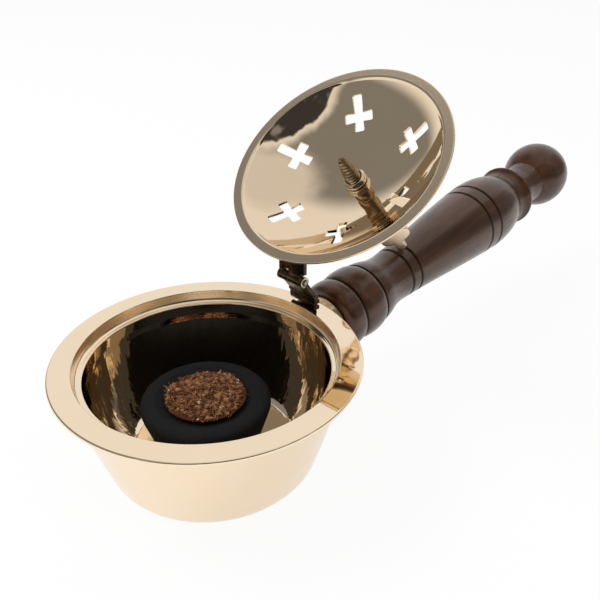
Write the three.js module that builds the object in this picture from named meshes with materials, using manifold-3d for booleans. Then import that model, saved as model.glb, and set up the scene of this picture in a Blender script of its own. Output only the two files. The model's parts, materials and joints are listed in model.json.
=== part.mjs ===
// Hand censer: a turned brass bowl on a walnut handle, with a hinged, pierced dome
// lid, a cross finial screwed through the lid, and a charcoal tablet with incense
// in the bowl. Millimetres, +Z up, origin at the middle of the bowl's foot,
// handle towards +X. The lid is modelled where it rests when open, its finial
// leaning on the handle.

import * as THREE from 'three';
import { mergeVertices } from 'three/addons/utils/BufferGeometryUtils.js';
import Module from 'manifold-3d';

const wasm = await Module();
wasm.setup();

const degree = Math.PI / 180;

// Fits
const seam = 0.3;                 // gap between pieces that touch
const runningGap = 0.25;          // radial gap of the hinge pin in its knuckles

// Bowl
const flangeRadius = 50;
const bowlHeight = 42;            // foot to the flange's top
const bowlFloor = 7;
const flangeThickness = 1.5;
const flangeOverhang = 3.8;       // flange beyond the outside of the wall
const recessWall = 3;             // wall beside the recess, at the flange
const recessLean = 0.7;           // how far the step leans inwards
const seatDepth = 3.9;            // lid seat below the flange's top
const seatWidth = 3.4;            // from the top of the step in to the mouth
const sideLean = 16.4 * degree;   // the side draws in towards the foot
const footCorner = 9.6;           // outer radius of the turn into the foot
const bellyIn = 0.5;              // the inside bellies out: nearly upright below the mouth,
const bellyHeight = 11.5;         // then curving in to the floor's edge
const floorEdgeIn = 10.7;         // from the mouth in to the corner round the floor
const floorCorner = 1.5;
const sideTopRadius = flangeRadius - flangeOverhang;
const recessRadius = sideTopRadius - recessWall;
const mouthRadius = recessRadius - seatWidth;

// Lid, in its own frame: the rim's underside is at height 0
const lidPlay = 2.8;              // lid's edge inside the top of the recess
const lidRadius = recessRadius - lidPlay;
const lidSheet = 1;
const rimWidth = 3.4;             // flat ring round the dome
const rimStep = 0.9;              // small step between the ring and the dome
const stepWidth = 0.9;
const domeHeight = 14;            // inside of the crown above the rim's underside

// Cross cut-outs, punched one by one by hand: how far each is outside the circle that they
// follow, its direction from the hinge, and how far its long arm is twisted from outwards
const crossInset = 16;            // from the lid's edge in to that circle
const crosses = [
  { outside: -1.3, direction: -29.2, twist: -6 },
  { outside: -0.8, direction: 31.2, twist: -12 },
  { outside: 0.1, direction: 93.3, twist: -8.5 },
  { outside: 1, direction: 156.2, twist: -4 },
  { outside: 0.4, direction: 217.8, twist: 6.3 },
  { outside: -0.7, direction: 276.5, twist: 9 },
];
const crossOuterArm = 8.2;
const crossInnerArm = 5.3;
const crossSideArm = 5.4;
const crossRootWidth = 3.3;
const crossEndWidth = 3.8;        // the arms flare a little
const crossCorner = 0.7;

// Hinge
const hingeInset = 10.5;          // from the flange's edge in to the pin
const hingeX = flangeRadius - hingeInset;
const hingeShift = 0.5;           // middle of the hinge beside the handle's plane
const hingeRise = 12.8;           // pin above the flange's top
const hingeWidth = 12;
const pinRadius = 0.9;
const pinOverhang = 0.4;
const knuckleRadius = 1.95;
const knuckleRoom = 3.1;          // how far the upper leaf stays off the lower leaf's knuckles
const leafThickness = 1.4;
const leafBend = 1.6;             // length that each bend takes of its legs
const standInset = 5.1;           // from the flange's edge in to the upright of the lower leaf
const standX = flangeRadius - standInset;
const standRise = 5;              // its top above the flange's top
const beadRadius = 1.1;           // rolled bead along the crank of the lower leaf
const beadOverhang = 0.3;
const footLength = 4.2;
const footWidth = 8;
const upperLeafFall = 51.6 * degree;
const padLength = 7;
// Knuckle joints from the near end of the hinge, and which leaf carries each knuckle
const knuckleJoints = [1.6, 7.5, 9.8];
const knuckleOwners = ['lower', 'upper', 'lower', 'upper'];

// Finial, heights in the lid's frame
const finialShift = 1.7;          // the stud's hole is drilled a little off the crown
const finialShiftDirection = 212 * degree;
const finialLean = 2.6 * degree;  // the finial leans the same way
const studRadius = 2.8;
const studTip = 0.2;
const studTipRadius = 1.3;
const studCone = 8;               // length of its taper
const studInFinial = 5;
const washerRadius = 4.1;
const washerThickness = 0.7;
const nutAcrossFlats = 7.2;
const nutThickness = 1.5;
const stemBaseRadius = 5;
const stemWaist = 3.8;
const stemHeight = 7.5;
const finialThickness = 2.6;
const finialTurn = 39 * degree;   // the cross stands askew on its thread
const finialCentre = 35.5;
const finialTopLength = 24.7;     // centre to the top bud's tip
const finialArmLength = 17;       // centre to a side bud's tip
const finialShank = 2.2;          // half width of the arms
const budReach = 9.2;             // side lobes behind a bud's tip
const budSpread = 2.2;
const budLobe = 3.8;
const budTip = 2.1;

// Handle, measured along its own axis from the flange's edge
const handleDrop = 13;            // axis below the flange's top at the flange's edge
const handleTilt = 6.57 * degree;
const socketEnd = 6.9;
const socketBaseRadius = 8.6;
const socketWaist = 6.4;
const socketMouth = 10.6;
const socketBase = -5.3;
const socketLip = 5.4;
const rodRadius = 3;
const rodStart = -2.3;
const rodLength = 34;
const gripFace = 11.3;            // radius of the grip's front face
const beadOne = { peak: 12.1, end: 16.3, radius: 13.9, edge: 12.9 };
const beadTwo = { peak: 22.3, end: 28.4, radius: 14.1, edge: 13.1 };
const cove = { at: 34.6, radius: 11.9 };
const neck = { at: 43.2, radius: 10.5 };
const swell = { at: 107.7, radius: 16 };
const swellEase = 0.42;           // share of the swell that eases in and out
const shoulder = { at: 127.7, radius: 11.9 };
const collar = { at: 133.6, radius: 13.9, width: 1.2 };
const fillet = { radius: 12.6, width: 1.6 };
const ballNeck = { at: 145.7, radius: 9.2 };
const ballCentre = 162.5;
const ballRadius = 15.1;
const grooves = [47.9, 53.1, 98.8, 105.3];
const grooveDepth = 0.55;
const grooveWidth = 1;

// Charcoal and incense
const charcoalRadius = 22;
const charcoalFoot = 17;
const charcoalHeight = 18.2;
const charcoalRound = 3.4;        // rounding of the top edge
const charcoalShift = new THREE.Vector2(-1.2, 1.2);
const dishRadius = 15.2;
const dishDepth = 3;
const heapRise = 2.6;

const bowlSteps = 56;
const lidSteps = 56;
const handleSteps = 24;
const smallSteps = 20;

const brass = { color: 0xd9b36c, roughness: 0.16, metalness: 1 };
const material = {
  bowl: new THREE.MeshStandardMaterial(brass),
  lid: new THREE.MeshStandardMaterial({ color: 0xcbb384, roughness: 0.14, metalness: 1 }),
  castBrass: new THREE.MeshStandardMaterial({ color: 0xb9975c, roughness: 0.35, metalness: 1 }),
  finial: new THREE.MeshStandardMaterial({ color: 0xe0bd83, roughness: 0.28, metalness: 1 }),
  steel: new THREE.MeshStandardMaterial({ color: 0x9c9a96, roughness: 0.3, metalness: 1 }),
  screwBrass: new THREE.MeshStandardMaterial({ color: 0xb8a077, roughness: 0.25, metalness: 1 }),
  walnut: new THREE.MeshStandardMaterial({ color: 0x46291c, roughness: 0.35, metalness: 0 }),
  charcoal: new THREE.MeshStandardMaterial({ color: 0x17181a, roughness: 0.9, metalness: 0 }),
  incense: new THREE.MeshStandardMaterial({ color: 0x7a4a2c, roughness: 0.95, metalness: 0 }),
};

// Geometry with shared corners and no empty triangles
function clean(geometry) {
  const bare = geometry.index ? geometry.clone() : mergeVertices(geometry.clone());
  bare.deleteAttribute('normal');
  bare.deleteAttribute('uv');
  const merged = mergeVertices(bare, 1e-4);
  const index = merged.index.array;
  const kept = [];
  for (let i = 0; i < index.length; i += 3) {
    const [a, b, c] = [index[i], index[i + 1], index[i + 2]];
    if (a !== b && b !== c && c !== a) {
      kept.push(a, b, c);
    }
  }
  merged.setIndex(kept);
  merged.computeVertexNormals();
  return merged;
}

function solidOf(geometry) {
  const bare = clean(geometry);
  const mesh = new wasm.Mesh({
    numProp: 3,
    vertProperties: Float32Array.from(bare.attributes.position.array),
    triVerts: Uint32Array.from(bare.index.array),
  });
  return new wasm.Manifold(mesh);
}

function geometryOf(solid) {
  const mesh = solid.getMesh();
  const geometry = new THREE.BufferGeometry();
  geometry.setAttribute('position', new THREE.BufferAttribute(mesh.vertProperties, 3));
  geometry.setIndex(new THREE.BufferAttribute(mesh.triVerts, 1));
  return geometry;
}

// Revolve a profile of radius and height about +Z; the profile runs up the outside first
function revolve(points, steps) {
  const geometry = new THREE.LatheGeometry(points, steps);
  geometry.rotateX(Math.PI / 2);
  return clean(geometry);
}

// Extrude a flat outline drawn in X and Z along Y, centred on y = 0
function plate(shape, width, curveSteps = 6) {
  const geometry = new THREE.ExtrudeGeometry(shape, {
    depth: width,
    bevelEnabled: false,
    curveSegments: curveSteps,
  });
  geometry.translate(0, 0, -width / 2);
  geometry.rotateX(Math.PI / 2);
  return clean(geometry);
}

// A round bar along Y at a place in X and Z
function crossBar(x, z, radius, yFrom, yTo) {
  const geometry = new THREE.CylinderGeometry(radius, radius, yTo - yFrom, smallSteps);
  geometry.translate(x, (yFrom + yTo) / 2, z);
  return geometry;
}

function block(xFrom, xTo, yFrom, yTo, zFrom, zTo) {
  const geometry = new THREE.BoxGeometry(xTo - xFrom, yTo - yFrom, zTo - zFrom);
  geometry.translate((xFrom + xTo) / 2, (yFrom + yTo) / 2, (zFrom + zTo) / 2);
  return geometry;
}

// Outline of a bent strip: its middle line runs through the corners, with rounded bends
function stripShape(corners, thickness, bend) {
  const path = new THREE.Path();
  path.moveTo(corners[0].x, corners[0].y);
  for (let i = 1; i < corners.length - 1; i += 1) {
    const before = corners[i].clone().sub(corners[i - 1]).normalize().multiplyScalar(-bend);
    const after = corners[i + 1].clone().sub(corners[i]).normalize().multiplyScalar(bend);
    const start = corners[i].clone().add(before);
    const end = corners[i].clone().add(after);
    path.lineTo(start.x, start.y);
    path.quadraticCurveTo(corners[i].x, corners[i].y, end.x, end.y);
  }
  const last = corners[corners.length - 1];
  path.lineTo(last.x, last.y);
  const middle = path.getPoints(4);
  const left = [];
  const right = [];
  middle.forEach((point, i) => {
    const next = middle[Math.min(i + 1, middle.length - 1)];
    const previous = middle[Math.max(i - 1, 0)];
    const along = next.clone().sub(previous).normalize();
    const side = new THREE.Vector2(-along.y, along.x).multiplyScalar(thickness / 2);
    left.push(point.clone().add(side));
    right.unshift(point.clone().sub(side));
  });
  return new THREE.Shape([...left, ...right]);
}

// Bowl

const seatHeight = bowlHeight - seatDepth;

// Distance from the axis of the centre of a round corner below a leaning side
function cornerCentre(topRadius, topHeight, centreHeight, cornerRadius, lean) {
  return topRadius - (topHeight - centreHeight) * Math.tan(lean) - cornerRadius / Math.cos(lean);
}

// Outside of the bowl from the foot to the flange's lower edge, grown by a margin
function addBowlOutside(path, margin) {
  const underFlange = bowlHeight - flangeThickness;
  const cornerX = cornerCentre(sideTopRadius, underFlange, footCorner, footCorner, sideLean);
  path.moveTo(0, -margin);
  path.lineTo(cornerX, -margin);
  path.absarc(cornerX, footCorner, footCorner + margin, -Math.PI / 2, -sideLean, false);
  path.lineTo(sideTopRadius + margin, underFlange - margin);
  path.lineTo(flangeRadius + margin, underFlange - margin);
}

function bowlGeometry() {
  const edge = flangeThickness / 2;
  const path = new THREE.Path();
  addBowlOutside(path, 0);
  path.quadraticCurveTo(flangeRadius + edge / 2, bowlHeight - edge, flangeRadius, bowlHeight);
  path.lineTo(recessRadius, bowlHeight);
  path.lineTo(recessRadius - recessLean, seatHeight);
  path.lineTo(mouthRadius, seatHeight);
  const floorEdge = mouthRadius - floorEdgeIn;
  path.quadraticCurveTo(mouthRadius - bellyIn, bowlFloor + bellyHeight, floorEdge, bowlFloor + floorCorner);
  path.quadraticCurveTo(floorEdge - floorCorner, bowlFloor, floorEdge - 2 * floorCorner, bowlFloor);
  path.lineTo(0, bowlFloor);
  return revolve(path.getPoints(3), bowlSteps);
}

function bowlEnvelope(margin) {
  const path = new THREE.Path();
  addBowlOutside(path, margin);
  path.lineTo(flangeRadius + margin, bowlHeight + margin);
  path.lineTo(0, bowlHeight + margin);
  return solidOf(revolve(path.getPoints(3), bowlSteps));
}

// Lid, drawn closed in its own frame

const domeRadiusAtRim = lidRadius - rimWidth - stepWidth;
const domeRise = domeHeight - rimStep;
const domeSphere = (domeRadiusAtRim ** 2 + domeRise ** 2) / (2 * domeRise);
const domeCentre = domeHeight - domeSphere;
const domeInside = (radius) => Math.sqrt(domeSphere ** 2 - radius ** 2) + domeCentre;

function lidShell() {
  const foot = Math.asin(domeRadiusAtRim / domeSphere);
  const outerSphere = domeSphere + lidSheet;
  const outerFootRadius = domeRadiusAtRim + stepWidth * 0.6;
  const outerFoot = Math.asin(outerFootRadius / outerSphere);
  const path = new THREE.Path();
  path.moveTo(lidRadius, 0);
  path.lineTo(lidRadius, lidSheet);
  path.lineTo(lidRadius - rimWidth + lidSheet / 2, lidSheet);
  path.absarc(0, domeCentre, outerSphere, Math.PI / 2 - outerFoot, Math.PI / 2, false);
  path.lineTo(0, domeHeight);
  path.absarc(0, domeCentre, domeSphere, Math.PI / 2, Math.PI / 2 - foot, true);
  path.lineTo(domeRadiusAtRim + stepWidth, 0);
  path.lineTo(lidRadius, 0);
  return solidOf(revolve(path.getPoints(4), lidSteps));
}

// Where the finial stands: off the crown and leaning, as its hole is drilled
const finialPlace = new THREE.Matrix4()
  .makeRotationZ(finialShiftDirection)
  .multiply(new THREE.Matrix4().makeTranslation(finialShift, 0, domeHeight))
  .multiply(new THREE.Matrix4().makeRotationY(finialLean))
  .multiply(new THREE.Matrix4().makeTranslation(0, 0, -domeHeight))
  .multiply(new THREE.Matrix4().makeRotationZ(-finialShiftDirection));

const punchLength = 8;

// One arm of a cut-out along +X, flaring from its root to its rounded end
function punchArm(length, turn) {
  const root = crossRootWidth / 2;
  const end = crossEndWidth / 2;
  const shape = new THREE.Shape();
  shape.moveTo(-root, -root);
  shape.lineTo(length - crossCorner, -end);
  shape.quadraticCurveTo(length, -end, length, crossCorner - end);
  shape.lineTo(length, end - crossCorner);
  shape.quadraticCurveTo(length, end, length - crossCorner, end);
  shape.lineTo(-root, root);
  const arm = new THREE.ExtrudeGeometry(shape, {
    depth: punchLength,
    bevelEnabled: false,
    curveSegments: 2,
  });
  arm.translate(0, 0, -punchLength / 2);
  arm.rotateZ(turn);
  return solidOf(arm);
}

// A Latin cross whose long arm points along +X
function crossPunch() {
  return punchArm(crossOuterArm, 0)
    .add(punchArm(crossSideArm, Math.PI / 2))
    .add(punchArm(crossInnerArm, Math.PI))
    .add(punchArm(crossSideArm, -Math.PI / 2));
}

// The cut-outs are punched square to the dome
function lidGeometry() {
  let lid = lidShell();
  const punch = geometryOf(crossPunch());
  for (const cross of crosses) {
    const distance = lidRadius - crossInset + cross.outside;
    const placed = punch.clone();
    placed.rotateZ(cross.twist * degree);
    placed.rotateY(Math.asin(distance / domeSphere));
    placed.translate(distance, 0, domeInside(distance));
    placed.rotateZ(cross.direction * degree);
    lid = lid.subtract(solidOf(placed));
  }
  const hole = new THREE.CylinderGeometry(studRadius + seam, studRadius + seam, punchLength, smallSteps);
  hole.rotateX(Math.PI / 2);
  hole.translate(0, 0, domeHeight);
  hole.applyMatrix4(finialPlace);
  return geometryOf(lid.subtract(solidOf(hole)));
}

// Finial, washer, nut and stud, in the lid's frame

const washerTop = domeInside(washerRadius) - seam;
const nutTop = washerTop - washerThickness - seam;
const stemFoot = domeHeight + lidSheet + seam;
const studEnd = stemFoot + studInFinial;

// One arm of the cross: a shank and a three-lobed bud; it points along +Y of the outline
function armOutline(length) {
  const lobes = length - budReach;
  const tip = length - budTip;
  const shank = new THREE.Shape();
  shank.moveTo(-finialShank, -finialShank);
  shank.lineTo(finialShank, -finialShank);
  shank.lineTo(finialShank, lobes);
  shank.lineTo(budTip * 0.8, tip);
  shank.lineTo(-budTip * 0.8, tip);
  shank.lineTo(-finialShank, lobes);
  const circles = [
    [-budSpread, lobes, budLobe],
    [budSpread, lobes, budLobe],
    [0, tip, budTip],
  ];
  return [shank, ...circles.map(([x, y, radius]) => new THREE.Shape().absarc(x, y, radius, 0, 2 * Math.PI))];
}

function finialSolid() {
  const arms = [
    { length: finialTopLength, turn: 0 },
    { length: finialArmLength, turn: -Math.PI / 2 },
    { length: finialArmLength, turn: Math.PI / 2 },
  ];
  const stem = new THREE.Path();
  stem.moveTo(0, stemFoot);
  stem.lineTo(stemBaseRadius, stemFoot);
  stem.lineTo(stemBaseRadius, stemFoot + 1);
  stem.quadraticCurveTo(stemWaist, stemFoot + 1.4, stemWaist, stemFoot + 2.6);
  stem.quadraticCurveTo(stemBaseRadius, stemFoot + 4.4, stemWaist, stemFoot + 6.2);
  stem.lineTo(finialShank * 1.3, stemFoot + stemHeight);
  stem.lineTo(0, stemFoot + stemHeight);
  let solid = solidOf(revolve(stem.getPoints(4), smallSteps));
  const lower = block(
    -finialShank, finialShank, -finialThickness / 2, finialThickness / 2,
    stemFoot + stemHeight - 2, finialCentre,
  );
  solid = solid.add(solidOf(lower));
  for (const arm of arms) {
    for (const outline of armOutline(arm.length)) {
      const flat = plate(outline, finialThickness, 7);
      flat.rotateY(-arm.turn);
      flat.translate(0, 0, finialCentre);
      solid = solid.add(solidOf(flat));
    }
  }
  const boreHeight = studEnd + seam - stemFoot + 1;
  const boreRadius = studRadius + seam;
  const bore = new THREE.CylinderGeometry(boreRadius, boreRadius, boreHeight, smallSteps);
  bore.rotateX(Math.PI / 2);
  bore.translate(0, 0, stemFoot - 1 + boreHeight / 2);
  return solid.subtract(solidOf(bore));
}

function finialGeometry() {
  const geometry = geometryOf(finialSolid());
  geometry.rotateZ(finialTurn);
  return geometry;
}

function studGeometry() {
  const path = new THREE.Path();
  path.moveTo(0, studTip);
  path.lineTo(studTipRadius, studTip + 0.4);
  path.lineTo(studRadius, studTip + studCone);
  path.lineTo(studRadius, studEnd);
  path.lineTo(0, studEnd);
  return revolve(path.getPoints(2), smallSteps);
}

function ringGeometry(radius, hole, low, high, steps, turn = 0) {
  const points = [[hole, low], [radius, low], [radius, high], [hole, high], [hole, low]];
  const geometry = revolve(points.map(([r, z]) => new THREE.Vector2(r, z)), steps);
  geometry.rotateZ(turn);
  return geometry;
}

function washerGeometry() {
  return ringGeometry(washerRadius, studRadius + seam, washerTop - washerThickness, washerTop, smallSteps);
}

function nutGeometry() {
  const outside = solidOf(new THREE.CylinderGeometry(
    nutAcrossFlats / Math.sqrt(3), nutAcrossFlats / Math.sqrt(3), nutThickness, 6,
  ).rotateX(Math.PI / 2).translate(0, 0, nutTop - nutThickness / 2));
  const hole = new THREE.CylinderGeometry(studRadius + seam, studRadius + seam, nutThickness * 2, smallSteps);
  hole.rotateX(Math.PI / 2);
  hole.translate(0, 0, nutTop - nutThickness / 2);
  return geometryOf(outside.subtract(solidOf(hole)));
}

// Hinge

const hingeZ = bowlHeight + hingeRise;
const hingeNear = hingeShift - hingeWidth / 2;
const hingeFar = hingeShift + hingeWidth / 2;
const knuckleEdges = [0, ...knuckleJoints, hingeWidth].map((along) => hingeNear + along);

// Knuckles of one leaf, bored for the pin, with room cut for the other leaf's knuckles
function withKnuckles(leaf, owner, x, z, roomRadius) {
  let solid = leaf;
  for (let i = 0; i < knuckleOwners.length; i += 1) {
    if (knuckleOwners[i] !== owner) {
      const room = crossBar(x, z, roomRadius, knuckleEdges[i], knuckleEdges[i + 1]);
      solid = solid.subtract(solidOf(room));
    }
  }
  for (let i = 0; i < knuckleOwners.length; i += 1) {
    if (knuckleOwners[i] === owner) {
      const barrel = crossBar(x, z, knuckleRadius, knuckleEdges[i] + seam / 2, knuckleEdges[i + 1] - seam / 2);
      solid = solid.add(solidOf(barrel));
    }
  }
  const bore = crossBar(x, z, pinRadius + runningGap, hingeNear - pinOverhang, hingeFar + pinOverhang);
  return solid.subtract(solidOf(bore));
}

function leafStrip(corners) {
  const strip = plate(stripShape(corners, leafThickness, leafBend), hingeWidth);
  strip.translate(0, hingeShift, 0);
  return solidOf(strip);
}

function lowerLeafGeometry() {
  const lift = seam + leafThickness / 2;
  const footEnd = standX + footLength;
  let leaf = leafStrip([
    new THREE.Vector2(hingeX, hingeZ),
    new THREE.Vector2(standX, bowlHeight + standRise),
    new THREE.Vector2(standX, bowlHeight + lift),
    new THREE.Vector2(footEnd, bowlHeight + lift),
  ]);
  const footTop = bowlHeight + standRise / 2;
  const behind = standX + leafThickness / 2;
  for (const side of [-1, 1]) {
    const edges = [side * footWidth / 2, side * hingeWidth].map((y) => hingeShift + y);
    const trim = block(behind, footEnd + leafThickness, Math.min(...edges), Math.max(...edges), 0, footTop);
    leaf = leaf.subtract(solidOf(trim));
  }
  const beadHeight = bowlHeight + standRise;
  const bead = crossBar(standX, beadHeight, beadRadius, hingeNear - beadOverhang, hingeFar + beadOverhang);
  leaf = leaf.add(solidOf(bead));
  return geometryOf(withKnuckles(leaf, 'lower', hingeX, hingeZ, knuckleRadius + seam));
}

function pinGeometry() {
  return clean(crossBar(hingeX, hingeZ, pinRadius, hingeNear - pinOverhang, hingeFar + pinOverhang));
}

// The upper leaf falls from the pin to the dome and ends in a pad bedded on it
function upperLeafGeometry() {
  const hingeHeight = hingeZ - (seatHeight + seam);
  const lift = seam + leafThickness / 2;
  const sphere = domeSphere + lidSheet + lift;
  const down = new THREE.Vector2(-Math.cos(upperLeafFall), -Math.sin(upperLeafFall));
  const start = new THREE.Vector2(hingeX, hingeHeight);
  const fromCentre = start.clone().sub(new THREE.Vector2(0, domeCentre));
  const along = fromCentre.dot(down);
  const reach = -along - Math.sqrt(along ** 2 - (fromCentre.lengthSq() - sphere ** 2));
  const bedStart = start.clone().add(down.clone().multiplyScalar(reach));
  const bedAngle = Math.atan2(bedStart.y - domeCentre, bedStart.x) + padLength / sphere;
  const bedEnd = new THREE.Vector2(sphere * Math.cos(bedAngle), domeCentre + sphere * Math.sin(bedAngle));
  let leaf = leafStrip([start, bedStart, bedEnd]);
  const dome = new THREE.SphereGeometry(domeSphere + lidSheet + seam, 120, 90);
  dome.rotateX(Math.PI / 2);
  dome.translate(0, 0, domeCentre);
  leaf = leaf.subtract(solidOf(dome));
  return geometryOf(withKnuckles(leaf, 'upper', hingeX, hingeHeight, knuckleRoom));
}

// Handle

function addGroove(points, at, radius) {
  points.push(new THREE.Vector2(radius, at - grooveWidth / 2));
  points.push(new THREE.Vector2(radius - grooveDepth, at));
  points.push(new THREE.Vector2(radius, at + grooveWidth / 2));
}

// Radius of the long swelling grip between the neck and the shoulder
function swellRadius(at) {
  const rise = THREE.MathUtils.clamp((at - neck.at) / (swell.at - neck.at), 0, 1);
  const eased = THREE.MathUtils.lerp(rise, rise * rise * (3 - 2 * rise), swellEase);
  return neck.radius + (swell.radius - neck.radius) * eased;
}

function gripProfile() {
  const start = socketEnd + seam;
  const bore = rodRadius + seam;
  const boreEnd = rodStart + rodLength + seam;
  const points = [new THREE.Vector2(0, boreEnd), new THREE.Vector2(bore, boreEnd), new THREE.Vector2(bore, start)];
  const beads = new THREE.Path();
  beads.moveTo(gripFace, start);
  beads.quadraticCurveTo(beadOne.radius, start + 0.6, beadOne.radius, beadOne.peak);
  beads.quadraticCurveTo(beadOne.radius, beadOne.end - 0.8, beadOne.edge, beadOne.end);
  beads.quadraticCurveTo(beadTwo.radius, beadOne.end + 1, beadTwo.radius, beadTwo.peak);
  beads.quadraticCurveTo(beadTwo.radius, beadTwo.end - 1, beadTwo.edge, beadTwo.end);
  beads.quadraticCurveTo(beadTwo.edge, (beadTwo.end + cove.at) / 2, cove.radius, cove.at);
  beads.quadraticCurveTo(neck.radius, (cove.at + neck.at) / 2, neck.radius, neck.at);
  points.push(...beads.getPoints(4));
  const stations = 9;
  const span = swell.at - neck.at;
  for (let i = 1; i < stations; i += 1) {
    const from = neck.at + (span * (i - 1)) / stations;
    const at = neck.at + (span * i) / stations;
    for (const groove of grooves) {
      if (groove > from && groove <= at) {
        addGroove(points, groove, swellRadius(groove));
      }
    }
    const clear = grooves.every((groove) => Math.abs(groove - at) > grooveWidth);
    if (clear) {
      points.push(new THREE.Vector2(swellRadius(at), at));
    }
  }
  points.push(new THREE.Vector2(swell.radius, swell.at));
  for (const groove of grooves) {
    if (groove > swell.at) {
      addGroove(points, groove, swell.radius);
    }
  }
  const end = new THREE.Path();
  const lastGroove = Math.max(...grooves, swell.at) + 2;
  end.moveTo(swell.radius, lastGroove);
  end.quadraticCurveTo(swell.radius - 0.2, shoulder.at - 7, shoulder.radius, shoulder.at);
  end.quadraticCurveTo(shoulder.radius - 0.4, collar.at - 2, collar.radius, collar.at);
  end.lineTo(collar.radius, collar.at + collar.width);
  const filletStart = collar.at + collar.width + 0.5;
  end.lineTo(fillet.radius, filletStart);
  end.lineTo(fillet.radius, filletStart + fillet.width);
  end.quadraticCurveTo(ballNeck.radius, filletStart + fillet.width + 1, ballNeck.radius, ballNeck.at);
  const ballStart = Math.asin(ballNeck.radius / ballRadius);
  points.push(...end.getPoints(3));
  const ball = new THREE.Path();
  ball.absarc(0, ballCentre, ballRadius, ballStart - Math.PI / 2, Math.PI / 2, false);
  points.push(...ball.getPoints(7));
  points[points.length - 1].x = 0;
  return points;
}

const handleFrame = new THREE.Matrix4()
  .makeTranslation(flangeRadius, 0, bowlHeight - handleDrop)
  .multiply(new THREE.Matrix4().makeRotationY(Math.PI / 2 - handleTilt));

function gripGeometry() {
  return revolve(gripProfile(), handleSteps);
}

// The socket is brazed to the bowl's side, so its base takes the bowl's curve
function socketGeometry() {
  const bore = rodRadius + seam;
  const boreEnd = rodStart - seam;
  const insideWall = socketBase - socketBaseRadius;
  const lipStart = socketEnd - socketLip;
  const path = new THREE.Path();
  path.moveTo(0, insideWall);
  path.lineTo(socketBaseRadius, insideWall);
  path.lineTo(socketBaseRadius, socketBase - 1.6);
  path.quadraticCurveTo(socketBaseRadius, socketBase, socketWaist, socketBase + 1);
  path.quadraticCurveTo(socketWaist, lipStart - 0.6, socketMouth, lipStart);
  path.lineTo(socketMouth, socketEnd);
  path.lineTo(bore, socketEnd);
  path.lineTo(bore, boreEnd);
  path.lineTo(0, boreEnd);
  const turned = revolve(path.getPoints(5), handleSteps);
  turned.applyMatrix4(handleFrame);
  return geometryOf(solidOf(turned).subtract(bowlEnvelope(seam)));
}

function rodGeometry() {
  const geometry = new THREE.CylinderGeometry(rodRadius, rodRadius, rodLength, smallSteps);
  geometry.rotateX(Math.PI / 2);
  geometry.translate(0, 0, rodStart + rodLength / 2);
  return clean(geometry);
}

// Charcoal and incense

function charcoalPath() {
  const dishEdge = dishRadius + 1.6;
  const path = new THREE.Path();
  path.moveTo(0, 0);
  path.lineTo(charcoalFoot - 1, 0);
  path.quadraticCurveTo(charcoalFoot, 0, charcoalFoot + 0.3, 1.2);
  path.lineTo(charcoalRadius - 0.4, charcoalHeight - charcoalRound);
  path.quadraticCurveTo(charcoalRadius + 0.3, charcoalHeight, charcoalRadius - charcoalRound, charcoalHeight);
  path.lineTo(dishEdge, charcoalHeight - 0.3);
  path.quadraticCurveTo(dishRadius * 0.7, charcoalHeight - dishDepth, 0, charcoalHeight - dishDepth);
  return path;
}

function charcoalGeometry() {
  return revolve(charcoalPath().getPoints(4), handleSteps);
}

// A loose heap: a mound whose edge and top wander a little
function heapGeometry() {
  const path = new THREE.Path();
  path.moveTo(0, charcoalHeight - dishDepth + seam);
  path.quadraticCurveTo(dishRadius * 0.6, charcoalHeight - dishDepth + seam, dishRadius - 1, charcoalHeight - 0.1);
  path.lineTo(dishRadius - 1.2, charcoalHeight + 0.7);
  path.quadraticCurveTo(dishRadius * 0.8, charcoalHeight + heapRise, 0, charcoalHeight + heapRise);
  const heap = revolve(path.getPoints(5), handleSteps);
  const position = heap.attributes.position;
  for (let i = 0; i < position.count; i += 1) {
    const [x, y, z] = [position.getX(i), position.getY(i), position.getZ(i)];
    const angle = Math.atan2(y, x);
    const wander = 0.05 * Math.sin(3 * angle + 1) + 0.035 * Math.sin(7 * angle);
    const above = Math.max(0, z - charcoalHeight) / heapRise;
    const lump = 0.5 * above * Math.sin(0.9 * x + 0.4) * Math.cos(1.1 * y);
    const edge = 1 - 0.05 + Math.min(above, 0.4) * wander * 2.5;
    position.setXYZ(i, x * edge, y * edge, z + lump);
  }
  heap.computeVertexNormals();
  return heap;
}

// The lid opens until some point of the finial is one seam away from the handle
const leastOpening = 90 * degree;
const mostOpening = 175 * degree;

function gripRadiusAt(profile, at) {
  for (let i = 1; i < profile.length; i += 1) {
    const [a, b] = [profile[i - 1], profile[i]];
    if (at >= a.y && at <= b.y && b.y > a.y) {
      return a.x + ((b.x - a.x) * (at - a.y)) / (b.y - a.y);
    }
  }
  return 0;
}

function placeLid(angle) {
  return new THREE.Matrix4()
    .makeTranslation(hingeX, 0, hingeZ)
    .multiply(new THREE.Matrix4().makeRotationY(angle))
    .multiply(new THREE.Matrix4().makeTranslation(-hingeX, 0, seatHeight + seam - hingeZ));
}

function finialClearance(finial, outside, angle) {
  const toHandle = handleFrame.clone().invert().multiply(placeLid(angle)).multiply(finialPlace);
  const position = finial.attributes.position;
  const point = new THREE.Vector3();
  let least = Infinity;
  for (let i = 0; i < position.count; i += 1) {
    point.fromBufferAttribute(position, i).applyMatrix4(toHandle);
    const gap = Math.hypot(point.x, point.y) - gripRadiusAt(outside, point.z);
    least = Math.min(least, gap);
  }
  return least;
}

function restAngle(finial) {
  const outside = gripProfile().slice(3);
  let low = leastOpening;
  let high = mostOpening;
  for (let i = 0; i < 40; i += 1) {
    const middle = (low + high) / 2;
    if (finialClearance(finial, outside, middle) > seam) {
      low = middle;
    } else {
      high = middle;
    }
  }
  return low;
}

// Assembly

function addMesh(group, name, geometry, look) {
  const mesh = new THREE.Mesh(clean(geometry), look);
  mesh.name = name;
  group.add(mesh);
  return mesh;
}

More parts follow.
